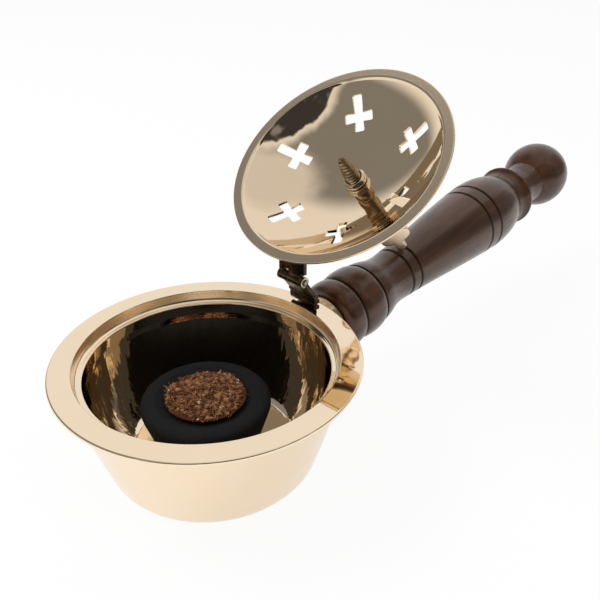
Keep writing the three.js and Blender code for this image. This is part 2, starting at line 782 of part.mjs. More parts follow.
const group = new THREE.Group();
addMesh(group, 'bowl', bowlGeometry(), material.bowl);
addMesh(group, 'handle_socket', socketGeometry(), material.castBrass);
addMesh(group, 'hinge_lower_leaf', lowerLeafGeometry(), material.castBrass);
addMesh(group, 'hinge_pin', pinGeometry(), material.steel);

const handle = new THREE.Group();
handle.applyMatrix4(handleFrame);
group.add(handle);
addMesh(handle, 'handle_rod', rodGeometry(), material.steel);
addMesh(handle, 'handle_grip', gripGeometry(), material.walnut);

const fill = new THREE.Group();
fill.position.set(charcoalShift.x, charcoalShift.y, bowlFloor + seam);
group.add(fill);
addMesh(fill, 'charcoal_tablet', charcoalGeometry(), material.charcoal);
addMesh(fill, 'incense_heap', heapGeometry(), material.incense);

const finial = finialGeometry();
const openAngle = restAngle(finial);
const lid = new THREE.Group();
lid.applyMatrix4(placeLid(openAngle));
group.add(lid);
addMesh(lid, 'lid', lidGeometry(), material.lid);
addMesh(lid, 'hinge_upper_leaf', upperLeafGeometry(), material.castBrass);
const onLid = new THREE.Group();
onLid.applyMatrix4(finialPlace);
lid.add(onLid);
addMesh(onLid, 'finial_cross', finial, material.finial);
addMesh(onLid, 'finial_stud', studGeometry(), material.screwBrass);
addMesh(onLid, 'finial_nut', nutGeometry(), material.screwBrass);
addMesh(onLid, 'finial_washer', washerGeometry(), material.screwBrass);

console.log(`lid rests open at ${(openAngle / degree).toFixed(3)} degrees`);

export default group;
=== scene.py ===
# Hand censer, shown open: a spun brass bowl on a turned walnut handle, a pierced dome
# lid on a knuckled hinge, a cross finial on a threaded stud, charcoal and incense.

import json
import math
import random

import bmesh
import bpy
from mathutils import Matrix, Vector
from mathutils.noise import fractal, noise


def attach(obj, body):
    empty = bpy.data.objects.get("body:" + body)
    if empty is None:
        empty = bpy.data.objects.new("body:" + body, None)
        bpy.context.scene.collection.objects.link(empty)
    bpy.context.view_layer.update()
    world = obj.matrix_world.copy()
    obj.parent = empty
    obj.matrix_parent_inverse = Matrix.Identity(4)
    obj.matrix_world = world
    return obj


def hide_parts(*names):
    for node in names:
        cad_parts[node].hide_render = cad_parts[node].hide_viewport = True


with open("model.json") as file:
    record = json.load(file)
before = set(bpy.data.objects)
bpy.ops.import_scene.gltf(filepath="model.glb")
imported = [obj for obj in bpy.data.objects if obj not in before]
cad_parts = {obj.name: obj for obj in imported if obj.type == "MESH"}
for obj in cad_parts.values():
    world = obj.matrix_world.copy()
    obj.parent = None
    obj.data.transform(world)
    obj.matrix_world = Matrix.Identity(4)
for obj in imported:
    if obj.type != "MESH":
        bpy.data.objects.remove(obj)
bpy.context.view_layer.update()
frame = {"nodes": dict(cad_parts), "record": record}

# Pieces are drawn in millimetres and shown in metres
mm = 0.001
degree = math.pi / 180
seam = 0.3  # gap between pieces that touch

# Bowl
flange_radius = 50
flange_proud = 0.15  # a true circle beside the CAD's facets
bowl_height = 42
bowl_floor = 7
flange_thickness = 1.5
flange_fall = 0.24  # its top falls outwards
flange_ease = 0.5
flange_top_ease = 0.6
side_top_radius = 46.2
side_lean = 16.4 * degree
foot_corner = 9.6
edge_run, edge_drop = 0.4, 0.45  # rounding where recess and mouth begin
recess_edge = 42.6  # where the flange turns down into the recess
recess_wall_in, recess_wall_foot = 0.5, 1
seat_bend, seat_start = 0.75, 1.7  # from the recess's edge in
seat_depth = 3.9  # lid seat below the flange's top
mouth_radius = 39.8
mouth_lean = 0.02
belly_in = 0.5  # the inside bellies out below the mouth,
belly_height = 11.5  # then curves in to the floor's edge
floor_edge_in = 10.7
floor_corner = 1.5
seat_height = bowl_height - seat_depth

# Lid, from its rim's underside
lid_radius = 40.4
lid_sheet = 1
rim_width = 3.4  # flat ring round the dome
rim_step = 0.9  # small step between the ring and the dome
step_width = 0.9
outer_step_share = 0.6  # share of the step's width where the outside turns
dome_height = 14
rim_top_ease, rim_inner_ease = 0.4, 0.3
dome_foot_ease, rim_step_ease, rim_edge_ease = 0.2, 0.45, 0.35
# Distance from the crown, direction and twist of each cross-shaped cut-out
crosses = (
    (23.1, -29.2, -6), (23.6, 31.2, -12), (24.5, 93.3, -8.5),
    (25.4, 156.2, -4), (24.8, 217.8, 6.3), (23.7, 276.5, 9),
)
cross_arms = (8.2, 5.4, 5.3, 5.4)  # outwards first, then round
cross_root = 1.65  # half widths: the arms flare a little
cross_end = 1.9
cross_corner = 0.7
punch_reach = 4  # how far a punch stands out of the dome
hinge_x = 39.5
hinge_height = bowl_height + 12.8
lid_opening = 142.159 * degree
knuckle_radius = 1.95
leaf_ease = 0.2  # bevel of the leaves' and the pin's edges

dome_edge = lid_radius - rim_width - step_width
dome_rise = dome_height - rim_step
dome_sphere = (dome_edge ** 2 + dome_rise ** 2) / (2 * dome_rise)
dome_centre = dome_height - dome_sphere

# Stud and finial, in the lid's frame
finial_shift = 1.7  # the stud's hole is drilled a little off the crown
finial_shift_direction = 212 * degree
finial_lean = 2.6 * degree  # the finial leans the same way
stud_radius = 2.8
stud_tip = 0.2  # height of its tip
stud_tip_radius = 1.3
stud_tip_flat = 0.4
stud_cone = 8  # length of its taper
thread_start = 0.9
thread_pitch = 1.3
thread_depth = 0.42
ridge_half_share = 0.46  # half the ridge's foot, as a share of the pitch
ridge_root = 0.15  # how deep it sits in the core
crest_half = 0.05
stud_in_finial = 5
washer_radius = 4.1
washer_thickness = 0.7
washer_ease = 0.25
nut_across_flats = 7.2
nut_thickness = 1.5
nut_chamfer_share = 0.6
nut_face_inset = 0.1
nut_chamfer_room = 0.05
stem_base_radius = 5
stem_waist = 3.8
stem_height = 7.5
stem_chamfer = (0.2, 0.3)
stem_disc = 1  # heights up the stem: disc, neck and bead
stem_neck = (1.4, 2.6)
stem_bead = (4.4, 6.2)
stem_top_share = 1.3
arm_overlap = 2
finial_thickness = 2.6
finial_turn = 39 * degree  # the cross stands askew on its thread
finial_centre = 35.5
finial_arms = ((24.7, 0), (17, -90 * degree), (17, 90 * degree))
finial_shank = 2.2  # half width of the arms
bud_reach = 9.2  # side lobes behind a bud's tip
bud_spread = 2.2
bud_lobe = 3.8
bud_tip = 2.1
bud_tip_share = 0.8
cast_voxel = 0.24  # the casting is melted together at this size,
cast_smoothings = 5  # then smoothed this often
stem_foot = dome_height + lid_sheet + seam
stud_end = stem_foot + stud_in_finial
stud_hole = stud_radius + seam

# Handle, along its own axis from the flange's edge
handle_drop = 13  # axis below the flange's top at the flange's edge
handle_tilt = 6.57 * degree
socket_end = 6.9
socket_base_radius = 8.6
socket_waist = 6.4
socket_mouth = 10.6
socket_base = -5.3
socket_lip = 5.4
rod_hole = 3.3
rod_hole_start = -2.6
rod_hole_end = 32
grip_face = 11.3  # radius of the grip's front face
bead_one_peak, bead_one_radius = 12.1, 13.9
bead_two_peak, bead_two_radius = 22.3, 14.1
joint_one, joint_two, joint_radius = 16.3, 28.4, 12.5
ledge_radius, ledge_edge = 13, 12.9  # narrow ledge behind the second bead
cove_at, cove_radius = 34.6, 11.9
neck_at, neck_radius = 43.2, 10.5
swell_at, swell_radius = 107.7, 16
swell_ease = 0.42  # share of the swell that eases in and out
shoulder_at, shoulder_radius = 127.7, 11.9
collar_at, collar_radius, collar_width = 133.6, 13.9, 1.2
fillet_end, fillet_radius = 136.9, 12.6
ball_neck_at, ball_neck = 145.7, 9.2
ball_centre = 162.5
ball_radius = 15.1
grooves = (47.9, 53.1, 98.8, 105.3)
groove_depth = 0.75
groove_half = 0.75
groove_round = 0.8
fillet_joint = 137.2

# Charcoal and incense
charcoal_radius = 22
charcoal_foot = 17
charcoal_height = 18.2
charcoal_round = 3.4  # rounding of the top edge
charcoal_lip = 1.6
charcoal_unevenness = 0.12
charcoal_shift = Vector((-1.2, 1.2, bowl_floor + seam))
dish_radius = 15.2
dish_depth = 3
heap_radius = 14
heap_rise = 2.6
heap_lump = 0.8
# Least and most of the loose bits' sizes, in millimetres, and of how they lie
shred_length, shred_width = (1.4, 4.2), (0.22, 0.5)
shred_taper, shred_curl = (0.3, 0.8), 0.35
chip_radius = (0.35, 0.8)
chip_stretch, chip_flatness, chip_unevenness = 1.5, 0.45, 0.12
loose_lift = (-0.1, 0.35)
loose_tilt, loose_roll = 0.3, 0.35  # spread of their slopes, in radians

# Camera, from the middle of the bowl's rim
camera_offset = Vector((-116.8, -154.8, 130.5))
camera_fall = 29.9 * degree
camera_heading = -45.84 * degree
focal_length = 43.17

# Steps round a turned piece, and along the long curves of an outline
bowl_steps = 224
lid_steps = 192
grip_steps = 128
socket_steps = 96
heap_steps = 72
small_steps = 64
bore_steps = 48
thread_steps = 28
dome_steps = 44
belly_steps = 36
ball_steps = 36
foot_steps = 20

# Sizes of the patterns in the finishes, as noise scales per metre
cloud_scale, tarnish_scale, wave_scale, ripple_scale = 55, 400, 80, 130
grime_scale, cast_scale = 350, 1600
figure_scale, pore_scale = 170, 1400
charcoal_scale, resin_scale, shade_scale, wear_scale = 900, 1200, 520, 600
line_scale = 5.0  # tool lines, per millimetre of radius

# Where a pattern's value begins to show, and where it shows in full
cloud_range, tarnish_range = (0.35, 0.7), (0.6, 0.8)
pore_range, shade_range, resin_range = (0.54, 0.68), (0.4, 0.62), (0.3, 0.7)
grime_width = 0.3
groove_shade_reach = (0.15, 0.9)  # millimetres from the middle of a groove, for its painted shade and stain

# Relief of the finishes, in millimetres
line_depth, satin_line_depth, ripple_depth = 0.0006, 0.02, 0.22
cast_depth, pore_depth, charcoal_depth, resin_depth = 0.04, 0.03, 0.2, 0.15

studio = bpy.context.scene


def slid(x, y, z):
    return Matrix.Translation((x, y, z))


def rolled(angle, axis):
    return Matrix.Rotation(angle, 4, axis)


lid_place = (
    slid(hinge_x, 0, hinge_height) @ rolled(lid_opening, "Y")
    @ slid(-hinge_x, 0, seat_height + seam - hinge_height)
)
finial_place = (
    lid_place @ rolled(finial_shift_direction, "Z") @ slid(finial_shift, 0, dome_height)
    @ rolled(finial_lean, "Y") @ slid(0, 0, -dome_height) @ rolled(-finial_shift_direction, "Z")
)
handle_place = (
    slid(flange_radius, 0, bowl_height - handle_drop) @ rolled(math.pi / 2 - handle_tilt, "Y")
)
charcoal_place = Matrix.Translation(charcoal_shift)


# Outlines of turned pieces: points of radius and height
def arc(centre_r, centre_h, radius, start, end, steps):
    turns = [start + (end - start) * i / steps for i in range(steps + 1)]
    return [(centre_r + radius * math.cos(t), centre_h + radius * math.sin(t)) for t in turns]


def bend(start, control, end, steps):
    # A quadratic curve without its start
    points = []
    for i in range(1, steps + 1):
        t = i / steps
        u, v, w = (1 - t) ** 2, 2 * t * (1 - t), t * t
        points.append(tuple(u * a + v * b + w * c for a, b, c in zip(start, control, end)))
    return points


def outline(start, *moves):
    # A move is a point for a straight stretch, or (control, end, steps) for a bend
    points = [start]
    for move in moves:
        if len(move) == 3:
            points += bend(points[-1], *move)
        else:
            points.append(move)
    return points


def eased_corner(before, corner, after, radius, steps=4):
    # Round a corner between two straight stretches
    corner = Vector(corner)
    start = corner + (Vector(before) - corner).normalized() * radius
    end = corner + (Vector(after) - corner).normalized() * radius
    return [tuple(start), *bend(start, corner, end, steps)]


def eased(points, radii):
    # Round the corners that have a radius in the list
    made = [points[0]]
    for i in range(1, len(points) - 1):
        if radii.get(i):
            made += eased_corner(points[i - 1], points[i], points[i + 1], radii[i])
        else:
            made.append(points[i])
    return made + [points[-1]]


def held(points, hold=0.12, long=1.0):
    # Keep straight stretches longer than "long" flat up to "hold" from their ends
    kept = [points[0]]
    for a, b in zip(points, points[1:]):
        a, b = Vector(a), Vector(b)
        length = (b - a).length
        if length > long:
            kept += [tuple(a.lerp(b, hold / length)), tuple(b.lerp(a, hold / length))]
        kept.append(tuple(b))
    return kept


def spun(points, steps):
    # A turned piece of an outline, open at the axis or closed into a ring
    bm = bmesh.new()
    points = held(points)
    closed = points[0] == points[-1]
    corners = [bm.verts.new((r, 0, h)) for r, h in (points[:-1] if closed else points)]
    edges = [bm.edges.new(pair) for pair in zip(corners, corners[1:])]
    if closed:
        edges.append(bm.edges.new((corners[-1], corners[0])))
    bmesh.ops.spin(
        bm, geom=corners + edges, cent=(0, 0, 0), axis=(0, 0, 1), angle=2 * math.pi,
        steps=steps, use_merge=True, use_duplicate=False,
    )
    bmesh.ops.remove_doubles(bm, verts=bm.verts, dist=1e-4)
    bmesh.ops.recalc_face_normals(bm, faces=bm.faces)
    return bm


def ring(radius, hole, low, high, ease, steps):
    corners = [(hole, (low + high) / 2), (hole, low), (radius, low), (radius, high), (hole, high)]
    corners.append(corners[0])
    return spun(eased(corners, {1: ease, 2: ease, 3: ease, 4: ease}), steps)


def extruded(points, low, high):
    # A prism of a flat outline, from one height to another
    bm = bmesh.new()
    face = bm.faces.new([bm.verts.new((x, y, low)) for x, y in points])
    raised = bmesh.ops.extrude_face_region(bm, geom=[face])["geom"]
    lifted = [part for part in raised if isinstance(part, bmesh.types.BMVert)]
    bmesh.ops.translate(bm, vec=(0, 0, high - low), verts=lifted)
    bmesh.ops.recalc_face_normals(bm, faces=bm.faces)
    return bm


def rod(radius, low, high, steps=bore_steps):
    return spun([(0, low), (radius, low), (radius, high), (0, high)], steps)


def put(bm, place):
    bmesh.ops.transform(bm, matrix=place, verts=bm.verts)
    return bm


def joined(*parts):
    whole = bmesh.new()
    for part in parts:
        mesh = bpy.data.meshes.new("part")
        part.to_mesh(mesh)
        part.free()
        whole.from_mesh(mesh)
        bpy.data.meshes.remove(mesh)
    return whole


def worked(bm, tool=None, **modifier):
    # Run one modifier on a bmesh, with another bmesh as its tool
    held_objects = []
    for source in (bm, tool):
        if source:
            mesh = bpy.data.meshes.new("blank")
            source.to_mesh(mesh)
            source.free()
            held_objects.append(bpy.data.objects.new("blank", mesh))
            studio.collection.objects.link(held_objects[-1])
    step = held_objects[0].modifiers.new("step", modifier.pop("kind"))
    if tool:
        step.object = held_objects[1]
    for setting, value in modifier.items():
        setattr(step, setting, value)
    made = bmesh.new()
    made.from_object(held_objects[0], bpy.context.evaluated_depsgraph_get())
    for blank in held_objects:
        bpy.data.meshes.remove(blank.data)
    return made


def cut(bm, tool, operation="DIFFERENCE"):
    return worked(bm, tool, kind="BOOLEAN", operation=operation, solver="EXACT")


def shown(bm, name, place=Matrix(), sharp=40 * degree):
    # The finished mesh, put in place and in metres, as an object at the origin
    bmesh.ops.transform(bm, matrix=Matrix.Scale(mm, 4) @ place, verts=bm.verts)
    mesh = bpy.data.meshes.new(name)
    bm.to_mesh(mesh)
    bm.free()
    mesh.shade_smooth()
    mesh.set_sharp_from_angle(angle=sharp)
    piece = bpy.data.objects.new(name, mesh)
    studio.collection.objects.link(piece)
    return piece


# Shader maths
class Socket:
    def __init__(self, tree, link):
        self.tree = tree
        self.link = link

    def maths(self, operation, *others):
        return self.tree.maths(operation, self, *others)

    def __add__(self, other):
        return self.maths("ADD", other)

    __radd__ = __add__

    def __mul__(self, other):
        return self.maths("MULTIPLY", other)

    __rmul__ = __mul__

    def __sub__(self, other):
        return self.maths("SUBTRACT", other)

    def __rsub__(self, other):
        return self.tree.maths("SUBTRACT", other, self)


class Tree:
    # A node tree whose nodes are made by one call each
    def __init__(self, node_tree):
        self.nodes = node_tree.nodes
        self.links = node_tree.links

    def plug(self, value, target):
        if isinstance(value, Socket):
            self.links.new(value.link, target)
        elif value is not None:
            target.default_value = value

    def node(self, kind, settings, values, output=0):
        made = self.nodes.new(kind)
        for setting, value in settings.items():
            if setting == "stops":
                ramp = made.color_ramp.elements
                while len(ramp) < len(value):
                    ramp.new(0.5)
                for element, (at, colour) in zip(ramp, value):
                    element.position = at
                    element.color = colour
            else:
                setattr(made, setting, value)
        named = values.items() if isinstance(values, dict) else enumerate(values)
        for key, value in named:
            self.plug(value, made.inputs[key])
        return Socket(self, made.outputs[output])

    def maths(self, operation, *values):
        return self.node("ShaderNodeMath", {"operation": operation}, values)

    def part(self, vector, axis):
        return self.node("ShaderNodeSeparateXYZ", {}, [vector], output=axis)

    def spread(self, value, low, high, to_low=0.0, to_high=1.0, smooth=False):
        settings = {"clamp": True, "interpolation_type": "SMOOTHSTEP" if smooth else "LINEAR"}
        return self.node("ShaderNodeMapRange", settings, [value, low, high, to_low, to_high])


class Finish(Tree):
    def __init__(self, name, **constants):
        self.material = bpy.data.materials.new(name)
        self.material.use_nodes = True
        super().__init__(self.material.node_tree)
        self.surface = self.nodes["Principled BSDF"]
        self.place = self.node("ShaderNodeTexCoord", {}, [], output="Object")
        for socket, value in constants.items():
            self.surface.inputs[socket.replace("_", " ")].default_value = value

    def mix(self, share, low, high):
        made = self.nodes.new("ShaderNodeMix")
        made.data_type = "RGBA"
        for key, value in ((0, share), (6, low), (7, high)):
            self.plug(value, made.inputs[key])
        return Socket(self, made.outputs[2])

    def laid(self, where, turn=(0, 0, 0), scale=(1, 1, 1)):
        # The pattern's own frame: its origin in metres, turned and stretched
        settings = {"vector_type": "TEXTURE"}
        centred = self.node("ShaderNodeMapping", settings, [self.place, where, turn])
        return self.node("ShaderNodeMapping", {}, {"Vector": centred, "Scale": scale})

    def noise(self, scale, detail=3, rough=0.5, where=None):
        return self.node(
            "ShaderNodeTexNoise", {},
            {"Vector": where or self.place, "Scale": scale, "Detail": detail, "Roughness": rough},
        )

    def bump(self, height, distance, strength=1.0):
        return self.node(
            "ShaderNodeBump", {}, {"Height": height, "Distance": distance, "Strength": strength},
        )

    def turned_radius(self, where=(0, 0, 0), turn=(0, 0, 0)):
        # Distance from a turning axis, in millimetres
        flat = self.laid(where, turn, (1, 1, 0))
        length = self.node("ShaderNodeVectorMath", {"operation": "LENGTH"}, [flat], "Value")
        return length * (1 / mm)

    def feed(self, **sockets):
        for socket, value in sockets.items():
            self.plug(value, self.surface.inputs[socket.replace("_", " ")])
        return self.material


def polished_brass(name, colour, deep, roughness, waviness, axis=(), satin_from=60.0, wall=0.0):
    # Turned work, polished, and satin beyond one radius. A wall radius marks the inside of a
    # bowl, with upright ripples within it; only the wall of the recess around it is satin.
    brass = Finish(name, Metallic=1.0)
    radius = brass.turned_radius(*axis)
    satin = brass.spread(radius, satin_from - 0.3, satin_from)
    lines = brass.node(
        "ShaderNodeTexNoise", {"noise_dimensions": "1D"},
        {"W": radius, "Scale": line_scale, "Detail": 3.0},
    )
    cloud = brass.spread(brass.noise(cloud_scale, 2), *cloud_range)
    tarnish = brass.spread(brass.noise(tarnish_scale, 4, 0.6), *tarnish_range)
    tint = brass.mix(cloud * 0.35 + tarnish * 0.15, colour, deep)
    line_height = lines * (satin * satin_line_depth + line_depth)
    height = brass.noise(wave_scale, 2) * waviness + line_height
    if wall:
        ripple = brass.noise(ripple_scale, 3, 0.5, brass.laid((0, 0, 0), scale=(1, 1, 0.1)))
        height = height + ripple * brass.spread(radius, wall, wall + 0.2, ripple_depth, 0.0)
        # Satin begins outside the mouth and above the seat, and ends at the flange's edge
        up = brass.part(brass.place, "Z") * (1 / mm)
        satin = brass.spread(radius, wall + 1.2, wall + 1.6)
        satin = satin * brass.spread(up, seat_height + 0.2, seat_height + 0.6)
        satin = satin * brass.spread(up, bowl_height - 0.6, bowl_height - 0.3, 1.0, 0.0)
        satin = satin * brass.spread(radius, recess_edge, recess_edge + 0.2, 1.0, 0.0)
    rough = satin * 0.2 + tarnish * 0.03 + roughness
    return brass.feed(Base_Color=tint, Roughness=rough, Normal=brass.bump(height, mm))


def cast_brass(name, colour, deep, roughness, grime_from=0.4):
    # Rough from the mould, with the deep colour where grime has gathered
    brass = Finish(name, Metallic=1.0)
    grime = brass.spread(brass.noise(grime_scale, 5, 0.65), grime_from, grime_from + grime_width)
    tint = brass.mix(grime, colour, deep)
    normal = brass.bump(brass.noise(cast_scale, 3, 0.6), cast_depth * mm, 0.5)
    return brass.feed(Base_Color=tint, Roughness=roughness + grime * 0.2, Normal=normal)


def walnut_finish():
    # Grain runs along the handle: both patterns are stretched that way
    walnut = Finish("stained_walnut", Coat_Roughness=0.2, Specular_Tint=(1, 0.74, 0.6, 1))
    where = (flange_radius * mm, 0, (bowl_height - handle_drop) * mm)
    turn = (0, -handle_tilt, 0)
    figure = walnut.noise(figure_scale, 5, 0.6, walnut.laid(where, turn, (0.07, 1, 1)))
    pores = walnut.noise(pore_scale, 4, 0.7, walnut.laid(where, turn, (0.035, 1, 1)))
    streak = walnut.spread(pores, *pore_range)
    tint = walnut.node("ShaderNodeValToRGB", {"stops": (
        (0.3, (0.022, 0.008, 0.004, 1)),
        (0.5, (0.052, 0.02, 0.009, 1)),
        (0.7, (0.09, 0.037, 0.018, 1)),
    )}, [figure])
    tint = walnut.mix(streak * 0.35, tint, (0.01, 0.005, 0.004, 1))
    # Painted shade darkens the turned grooves and joints, with stain settled in them too
    height = walnut.part(walnut.laid(where, turn), "X") * (1 / mm)
    groove_shade_and_stain = 0.0
    for joint in (*grooves, joint_one, joint_two, fillet_joint):
        off = walnut.maths("ABSOLUTE", height - joint)
        groove_shade_and_stain = walnut.spread(off, *groove_shade_reach, 1.0, 0.0, smooth=True) + groove_shade_and_stain
    tint = walnut.mix(groove_shade_and_stain, tint, (0.006, 0.003, 0.002, 1))
    normal = walnut.bump(streak, pore_depth * mm, -0.4)
    return walnut.feed(
        Base_Color=tint, Roughness=0.3 + streak * 0.2 + groove_shade_and_stain * 0.5,
        Coat_Weight=0.45 - streak * 0.2 - groove_shade_and_stain * 0.25, Normal=normal,
    )


def charcoal_finish():
    black = Finish("pressed_charcoal", Roughness=0.9, Specular_IOR_Level=0.2)
    grain = black.noise(charcoal_scale, 5, 0.7)
    tint = black.mix(grain, (0.006, 0.006, 0.006, 1), (0.017, 0.017, 0.018, 1))
    return black.feed(Base_Color=tint, Normal=black.bump(grain, charcoal_depth * mm, 0.6))


def incense_finish(name, dark, light):
    resin = Finish(name, Roughness=0.8, Specular_IOR_Level=0.2)
    grain = resin.noise(resin_scale, 4, 0.7)
    shade = resin.spread(resin.noise(shade_scale, 2), *shade_range)
    tint = resin.mix(resin.spread(grain, *resin_range) * 0.4 + shade * 0.6, dark, light)
    return resin.feed(Base_Color=tint, Normal=resin.bump(grain, resin_depth * mm, 0.5))


def steel_finish():
    steel = Finish("worn_steel", Metallic=1.0)
    wear = steel.noise(wear_scale, 4)
    tint = steel.mix(wear, (0.2, 0.19, 0.17, 1), (0.42, 0.4, 0.36, 1))
    return steel.feed(Base_Color=tint, Roughness=0.22 + wear * 0.2)


# Each finish: its colour, the deeper colour of its grime or clouds, and its roughness
bowl_brass = polished_brass(
    "bowl_brass", (0.97, 0.8, 0.59, 1), (0.95, 0.76, 0.53, 1), roughness=0.03, waviness=0.01,
    wall=mouth_radius - 0.4,
)
lid_brass = polished_brass(
    "lid_brass", (0.88, 0.71, 0.51, 1), (0.86, 0.67, 0.45, 1), roughness=0.035, waviness=0.03,
    axis=(tuple(lid_place.translation * mm), (0, lid_opening, 0)),
    satin_from=lid_radius - rim_width + 0.3,
)
# The lid's brass again, darker and more golden: painted shade on the faces that look outwards
lid_back_shaded_brass = polished_brass(
    "lid_back_shaded_brass", (0.76, 0.57, 0.31, 1), (0.52, 0.36, 0.17, 1), roughness=0.06, waviness=0.02,
)
finial_brass = cast_brass("finial_brass", (0.98, 0.79, 0.57, 1), (0.9, 0.68, 0.44, 1), 0.36, 0.5)
# The stud's brass is darkened to brown: painted shade and brown reflection, with random grime
# patches
shaded_screw_brass = cast_brass("shaded_screw_brass", (0.5, 0.36, 0.2, 1), (0.22, 0.14, 0.07, 1), 0.32, 0.45)
nut_brass = cast_brass("nut_brass", (0.95, 0.8, 0.58, 1), (0.7, 0.52, 0.3, 1), 0.12, 0.5)
hinge_brass = cast_brass("hinge_brass", (0.085, 0.062, 0.038, 1), (0.02, 0.015, 0.01, 1), 0.22)
light_edge_brass = cast_brass("light_edge_brass", (0.62, 0.55, 0.36, 1), (0.2, 0.16, 0.09, 1), 0.25)
socket_brass = cast_brass("socket_brass", (0.7, 0.54, 0.32, 1), (0.42, 0.3, 0.16, 1), 0.25)
worn_steel = steel_finish()
walnut = walnut_finish()
pressed_charcoal = charcoal_finish()
incense_crumb = incense_finish("incense_crumb", (0.03, 0.01, 0.004, 1), (0.1, 0.036, 0.014, 1))
incense_shred = incense_finish("incense_shred", (0.06, 0.019, 0.007, 1), (0.4, 0.19, 0.09, 1))
incense_chip = incense_finish("incense_chip", (0.45, 0.28, 0.17, 1), (0.68, 0.5, 0.33, 1))


def dress(piece, node, *materials, body=None):
    # Let a piece stand for its CAD node, on the node's body; one without a node names its body
    bodies = frame["record"]["behaviour"]["bodies"]
    if node:
        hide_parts(node)
    home = body or next(name for name, nodes in bodies.items() if node in nodes)
    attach(piece, home)
    for material in materials:
        piece.data.materials.append(material)
    return piece


# Bowl

def bowl_outside(margin=0):
    # Foot, corner and leaning side up to the flange, or a margin outside them
    under_flange = bowl_height - flange_thickness
    side_foot = side_top_radius - (under_flange - foot_corner) * math.tan(side_lean)
    corner_at = side_foot - foot_corner / math.cos(side_lean)
    foot = arc(corner_at, foot_corner, foot_corner + margin, -math.pi / 2, -side_lean, foot_steps)
    return [(0, -margin), *foot, (side_top_radius + margin, under_flange - margin)]


def make_bowl():
    under_flange = bowl_height - flange_thickness
    edge = flange_radius + flange_proud
    outside = eased([
        *bowl_outside()[-2:], (edge, under_flange), (edge, bowl_height - flange_fall),
        (recess_edge + edge_run, bowl_height),
    ], {1: flange_ease, 2: flange_ease, 3: flange_top_ease})
    belly = (mouth_radius - belly_in, bowl_floor + belly_height)
    floor_edge = mouth_radius - floor_edge_in
    inside = outline(
        outside[-1],
        ((recess_edge, bowl_height), (recess_edge, bowl_height - edge_drop), 7),
        (recess_edge - recess_wall_in, seat_height + recess_wall_foot),
        ((recess_edge - seat_bend, seat_height), (recess_edge - seat_start, seat_height), 8),
        (mouth_radius + edge_run, seat_height),
        ((mouth_radius, seat_height), (mouth_radius - mouth_lean, seat_height - edge_drop), 7),
        (belly, (floor_edge, bowl_floor + floor_corner), belly_steps),
        ((floor_edge - floor_corner, bowl_floor), (floor_edge - 2 * floor_corner, bowl_floor), 8),
        (0, bowl_floor),
    )
    turned = spun([*bowl_outside()[:-2], *outside, *inside[1:]], bowl_steps)
    bowl = shown(turned, "spun_bowl", sharp=75 * degree)
    dress(bowl, "bowl", bowl_brass)


# Lid

def cross_outline():
    points = []
    for i, length in enumerate(cross_arms):
        corners = [
            (cross_root, -cross_root), (length, -cross_end),
            (length, cross_end), (cross_root, cross_root),
        ]
        arm = eased(corners, {1: cross_corner, 2: cross_corner})[:-1]
        turn = Matrix.Rotation(i * math.pi / 2, 2)
        points += [tuple(turn @ Vector(point)) for point in arm]
    return points


def punches():
    # The stud's hole and the six crosses, as tools that stand across the dome
    crown = lid_place.inverted() @ finial_place @ slid(0, 0, dome_height)
    tools = [put(rod(stud_hole, -punch_reach, punch_reach), crown)]
    for distance, direction, twist in crosses:
        height = math.sqrt(dome_sphere ** 2 - distance ** 2) + dome_centre
        place = (
            rolled(direction * degree, "Z") @ slid(distance, 0, height)
            @ rolled(math.asin(distance / dome_sphere), "Y") @ rolled(twist * degree, "Z")
        )
        tools.append(put(extruded(cross_outline(), -punch_reach, punch_reach), place))
    return joined(*tools)


def true_dome(mesh, place, close=0.01):
    # The dome's two faces take the exact normals of their spheres, so that they mirror evenly
    back = place.inverted()
    middle = Vector((0, 0, dome_centre))
    normals = [corner.vector.copy() for corner in mesh.corner_normals]
    turn = place.to_3x3().normalized()
    for face in mesh.polygons:
        corners = [mesh.vertices[mesh.loops[loop].vertex_index].co for loop in face.loop_indices]
        spots = [back @ corner - middle for corner in corners]
        on_inside = all(abs(spot.length - dome_sphere) < close for spot in spots)
        on_outside = all(abs(spot.length - dome_sphere - lid_sheet) < close for spot in spots)
        on_edge = all(spot.xy.length > dome_edge - close for spot in spots)
        if on_outside or (on_inside and not on_edge):
            side = -1 if on_inside else 1
            for loop, spot in zip(face.loop_indices, spots):
                normals[loop] = turn @ (spot.normalized() * side)
    mesh.normals_split_custom_set(normals)


